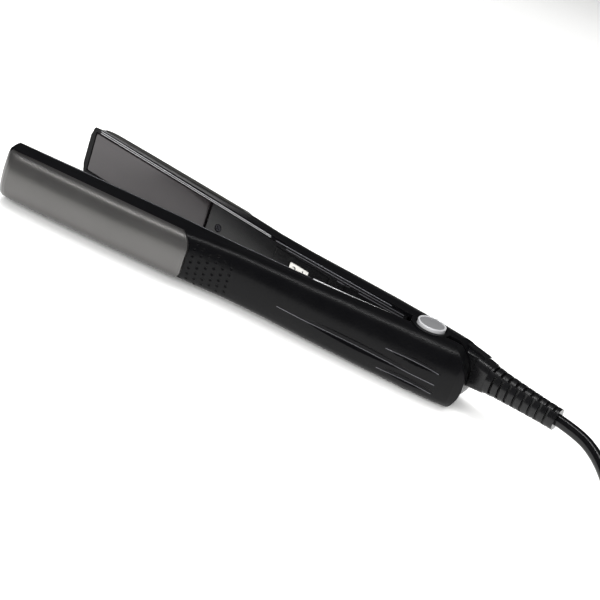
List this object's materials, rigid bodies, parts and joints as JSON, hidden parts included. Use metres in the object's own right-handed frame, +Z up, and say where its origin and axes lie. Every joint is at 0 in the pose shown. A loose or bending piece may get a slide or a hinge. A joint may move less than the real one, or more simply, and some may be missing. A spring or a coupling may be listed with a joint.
{
  "type": "flat iron",
  "caption": "Hair straightener with two hinged arms, floating heated plates, a rocker switch and a mains lead with its plug.",
  "frame": {"origin": "where the hinge axis meets the surface that the iron lies on, at the face of the lower hinge cap", "axes": "+Z up along the hinge axis; the arms' tips point along -X, evenly spread to both sides of it; the cord leaves along +X; +Y on the side of the arm that holds the cord"},
  "size_m": [0.4875, 0.14, 0.0351],
  "materials": {
    "shell_plastic": "satin",
    "insert_plastic": "satin",
    "cover_plastic": "satin",
    "plate_coating": "glossy ceramic coating",
    "bright_steel": "polished",
    "cap_metal": "satin",
    "spring_steel": "plain",
    "heater_aluminium": "plain",
    "insulation_film": "amber film",
    "silicone": "plain",
    "carrier_plastic": "plain",
    "rocker_plastic": "gloss",
    "board_laminate": "plain",
    "bearing_plastic": "plain",
    "heater_lead": "braided",
    "mains_lead": "plain",
    "relief_rubber": "satin",
    "cord_jacket": "gloss",
    "tie_plastic": "plain",
    "plug_metal": "nickel plated"
  },
  "bodies": {
    "cord_arm": {"cord_arm_shell": "shell_plastic", "cord_arm_insert": "insert_plastic", "cord_arm_inner_cover": "cover_plastic", "cord_arm_cover_screw": "bright_steel", "cord_arm_cushions": "silicone", "cord_arm_plate_carrier": "carrier_plastic", "cord_arm_thermal_fuse": "heater_aluminium", "cord_arm_heater_leads": "heater_lead", "switch_body": "carrier_plastic", "circuit_board": "board_laminate", "mains_leads": "mains_lead", "cord_clamp": "carrier_plastic", "hinge_pin": "spring_steel", "upper_cap": "cap_metal", "upper_cap_rim": "bright_steel", "lower_cap": "cap_metal", "lower_cap_rim": "bright_steel", "opening_spring": "spring_steel", "strain_relief_collar": "relief_rubber", "strain_relief_boot": "relief_rubber", "mains_cord": "cord_jacket", "mains_cord_coil": "cord_jacket", "coil_tie": "tie_plastic", "mains_cord_tail": "cord_jacket", "plug_body": "relief_rubber", "plug_pins": "plug_metal"},
    "cord_arm_plate": {"cord_arm_plate": "plate_coating", "cord_arm_heater": "heater_aluminium", "cord_arm_heater_clip": "spring_steel", "cord_arm_insulation_pad": "insulation_film"},
    "free_arm": {"free_arm_shell": "shell_plastic", "free_arm_insert": "insert_plastic", "free_arm_inner_cover": "cover_plastic", "free_arm_cover_screw": "bright_steel", "free_arm_cushions": "silicone", "free_arm_plate_carrier": "carrier_plastic", "free_arm_thermal_fuse": "heater_aluminium", "free_arm_heater_leads": "heater_lead", "hinge_bushes": "bearing_plastic", "opening_spring_free_leg": "spring_steel"},
    "free_arm_plate": {"free_arm_plate": "plate_coating", "free_arm_heater": "heater_aluminium", "free_arm_heater_clip": "spring_steel", "free_arm_insulation_pad": "insulation_film"},
    "power_rocker": {"switch_rocker": "rocker_plastic"}
  },
  "joints": [
    {"name": "arm_hinge", "type": "hinge", "parent": "cord_arm", "child": "free_arm", "pos_m": [0, 0, 0.0169], "axis": [0, 0, -1], "range_deg": [0, 16.7], "stiffness_Nm_per_rad": 1, "springref_deg": -11.46},
    {"name": "cord_arm_plate_slide", "type": "slide", "parent": "cord_arm", "child": "cord_arm_plate", "axis": [0.1452, 0.9894, 0], "range_m": [0, 0.0006], "stiffness_N_per_m": 8000, "springref_m": -0.0005},
    {"name": "free_arm_plate_slide", "type": "slide", "parent": "free_arm", "child": "free_arm_plate", "axis": [0.1452, -0.9894, 0], "range_m": [0, 0.0006], "stiffness_N_per_m": 8000, "springref_m": -0.0005},
    {"name": "power_rocker_tilt", "type": "hinge", "parent": "cord_arm", "child": "power_rocker", "pos_m": [-0.08041, 0.01685, 0.0169], "axis": [0, 0, -1], "range_deg": [0, 12]}
  ]
}
